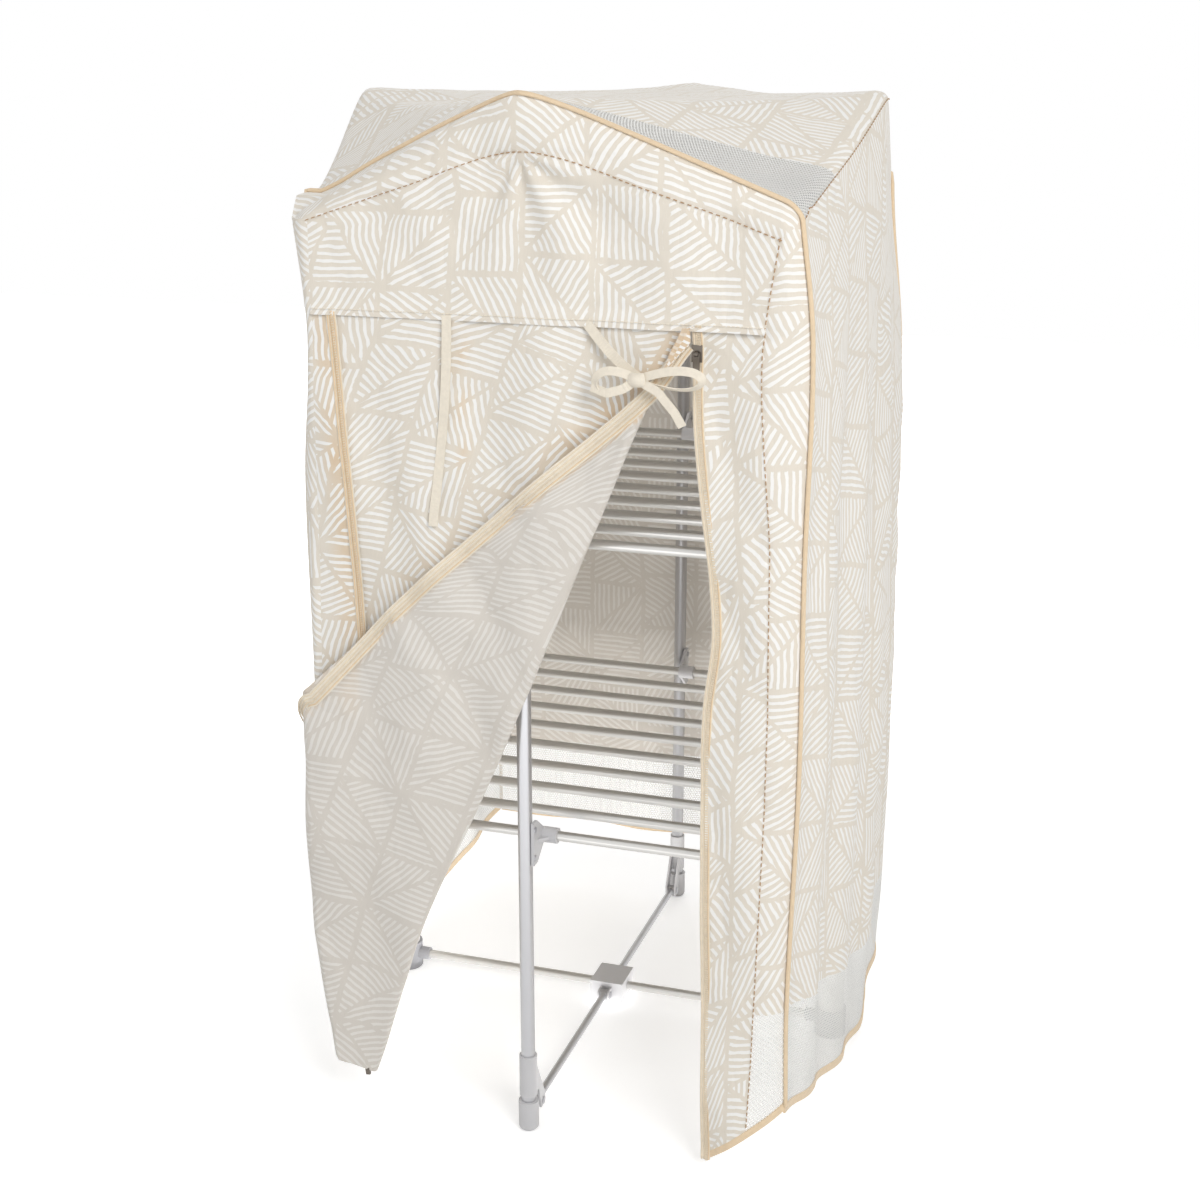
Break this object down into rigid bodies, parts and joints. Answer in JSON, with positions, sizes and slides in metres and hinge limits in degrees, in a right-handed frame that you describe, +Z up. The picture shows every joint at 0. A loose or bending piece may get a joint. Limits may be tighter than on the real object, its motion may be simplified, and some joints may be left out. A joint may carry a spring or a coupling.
{
  "type": "heated clothes airer",
  "caption": "Folding three-tier electric heated clothes airer on four posts, wearing a zip-up printed fabric cover with its front flap folded back.",
  "frame": {"origin": "on the floor under the middle of the frame", "axes": "+X along the heated bars, -Y is the front with the zip flap, +Z up"},
  "size_m": [0.7828, 0.8446, 1.3699],
  "materials": {
    "post_enamel": "satin",
    "silver_tube": "satin",
    "bar_aluminium": "satin",
    "element_core": "matte",
    "pin_steel": "brushed",
    "grey_plastic": "matte",
    "pale_plastic": "matte",
    "dark_plastic": "matte",
    "amber_lens": "gloss",
    "cover_fabric": "matte",
    "mesh_fabric": "matte",
    "zip_metal": "satin"
  },
  "bodies": {
    "frame": {"left_post": "post_enamel", "right_post": "post_enamel", "left_foot": "grey_plastic", "right_foot": "grey_plastic", "base_rail": "silver_tube", "base_hub": "grey_plastic", "base_pins": "pin_steel", "top_rail": "silver_tube", "hinge_brackets": "grey_plastic", "hinge_pins": "pin_steel", "control_box": "pale_plastic", "pilot_lens": "amber_lens", "cable_gland": "dark_plastic", "thermal_cutout": "dark_plastic"},
    "rocker": {"power_rocker": "dark_plastic"},
    "cover_caps": {"post_caps": "grey_plastic"},
    "cover": {"cover_roof": "cover_fabric", "cover_valance": "cover_fabric", "front_strip": "cover_fabric", "front_flap": "cover_fabric", "cover_left": "cover_fabric", "cover_right": "cover_fabric", "cover_rear": "cover_fabric", "mesh_skirt": "mesh_fabric", "tie_ribbon": "cover_fabric", "tie_bow": "cover_fabric", "zip_slider": "zip_metal"},
    "pull": {"zip_pull": "zip_metal"},
    "front_low_wing": {"front_low_bars": "bar_aluminium", "front_low_elements": "element_core", "front_low_arms": "grey_plastic"},
    "front_middle_wing": {"front_middle_bars": "bar_aluminium", "front_middle_elements": "element_core", "front_middle_arms": "grey_plastic"},
    "front_top_wing": {"front_top_bars": "bar_aluminium", "front_top_elements": "element_core", "front_top_arms": "grey_plastic"},
    "front_stay": {"front_stay": "silver_tube"},
    "front_leg": {"front_leg_tube": "silver_tube", "front_leg_foot": "pale_plastic", "front_leg_sleeve": "pale_plastic", "front_leg_brackets": "pale_plastic", "front_leg_rivets": "pin_steel", "front_leg_pin": "pin_steel"},
    "rear_low_wing": {"rear_low_bars": "bar_aluminium", "rear_low_elements": "element_core", "rear_low_arms": "grey_plastic"},
    "rear_middle_wing": {"rear_middle_bars": "bar_aluminium", "rear_middle_elements": "element_core", "rear_middle_arms": "grey_plastic"},
    "rear_top_wing": {"rear_top_bars": "bar_aluminium", "rear_top_elements": "element_core", "rear_top_arms": "grey_plastic"},
    "rear_stay": {"rear_stay": "silver_tube"},
    "rear_leg": {"rear_leg_tube": "silver_tube", "rear_leg_foot": "pale_plastic", "rear_leg_sleeve": "pale_plastic", "rear_leg_brackets": "pale_plastic", "rear_leg_rivets": "pin_steel", "rear_leg_pin": "pin_steel"}
  },
  "joints": [
    {"name": "front_low_fold", "type": "hinge", "parent": "frame", "child": "front_low_wing", "pos_m": [0, -0.0382, 0.428], "axis": [-1, 0, 0], "range_deg": [0, 85]},
    {"name": "front_middle_fold", "type": "hinge", "parent": "frame", "child": "front_middle_wing", "pos_m": [0, -0.0382, 0.832], "axis": [-1, 0, 0], "range_deg": [0, 85]},
    {"name": "front_top_fold", "type": "hinge", "parent": "frame", "child": "front_top_wing", "pos_m": [0, -0.0382, 1.236], "axis": [-1, 0, 0], "range_deg": [0, 85]},
    {"name": "front_stay_fold", "type": "hinge", "parent": "frame", "child": "front_stay", "pos_m": [0, -0.0382, 0.025], "axis": [-1, 0, 0], "range_deg": [0, 85]},
    {"name": "front_leg_swing", "type": "hinge", "parent": "front_middle_wing", "child": "front_leg", "pos_m": [0, -0.3438, 0.832], "axis": [1, 0, 0], "range_deg": [0, 85]},
    {"name": "rear_low_fold", "type": "hinge", "parent": "frame", "child": "rear_low_wing", "pos_m": [0, 0.0382, 0.428], "axis": [1, 0, 0], "range_deg": [0, 85]},
    {"name": "rear_middle_fold", "type": "hinge", "parent": "frame", "child": "rear_middle_wing", "pos_m": [0, 0.0382, 0.832], "axis": [1, 0, 0], "range_deg": [0, 85]},
    {"name": "rear_top_fold", "type": "hinge", "parent": "frame", "child": "rear_top_wing", "pos_m": [0, 0.0382, 1.236], "axis": [1, 0, 0], "range_deg": [0, 85]},
    {"name": "rear_stay_fold", "type": "hinge", "parent": "frame", "child": "rear_stay", "pos_m": [0, 0.0382, 0.025], "axis": [1, 0, 0], "range_deg": [0, 85]},
    {"name": "rear_leg_swing", "type": "hinge", "parent": "rear_middle_wing", "child": "rear_leg", "pos_m": [0, 0.3438, 0.832], "axis": [-1, 0, 0], "range_deg": [0, 85]},
    {"name": "caps_rise", "type": "slide", "parent": "frame", "child": "cover_caps", "axis": [0, 0, 1], "range_m": [0, 0.66759]},
    {"name": "cover_lift", "type": "slide", "parent": "cover_caps", "child": "cover", "axis": [0, 0, 1], "range_m": [0, 1.4]},
    {"name": "power_switch", "type": "hinge", "parent": "frame", "child": "rocker", "pos_m": [0.299, -0.024, 0.192], "axis": [1, 0, 0], "range_deg": [-6, 6]},
    {"name": "zip_pull_swing", "type": "hinge", "parent": "cover", "child": "pull", "pos_m": [0.227, -0.39851, 1.086], "axis": [-1, 0, 0], "range_deg": [0, 150]}
  ],
  "couplings": [
    {"joint": "front_low_fold", "follows": "front_middle_fold", "ratio": 1},
    {"joint": "front_top_fold", "follows": "front_middle_fold", "ratio": 1},
    {"joint": "front_stay_fold", "follows": "front_middle_fold", "ratio": 1},
    {"joint": "front_leg_swing", "follows": "front_middle_fold", "ratio": 1},
    {"joint": "rear_low_fold", "follows": "front_middle_fold", "ratio": 1},
    {"joint": "rear_middle_fold", "follows": "front_middle_fold", "ratio": 1},
    {"joint": "rear_top_fold", "follows": "front_middle_fold", "ratio": 1},
    {"joint": "rear_stay_fold", "follows": "front_middle_fold", "ratio": 1},
    {"joint": "rear_leg_swing", "follows": "front_middle_fold", "ratio": 1},
    {"joint": "caps_rise", "follows": "front_middle_fold", "m_per_rad": 0.45}
  ]
}
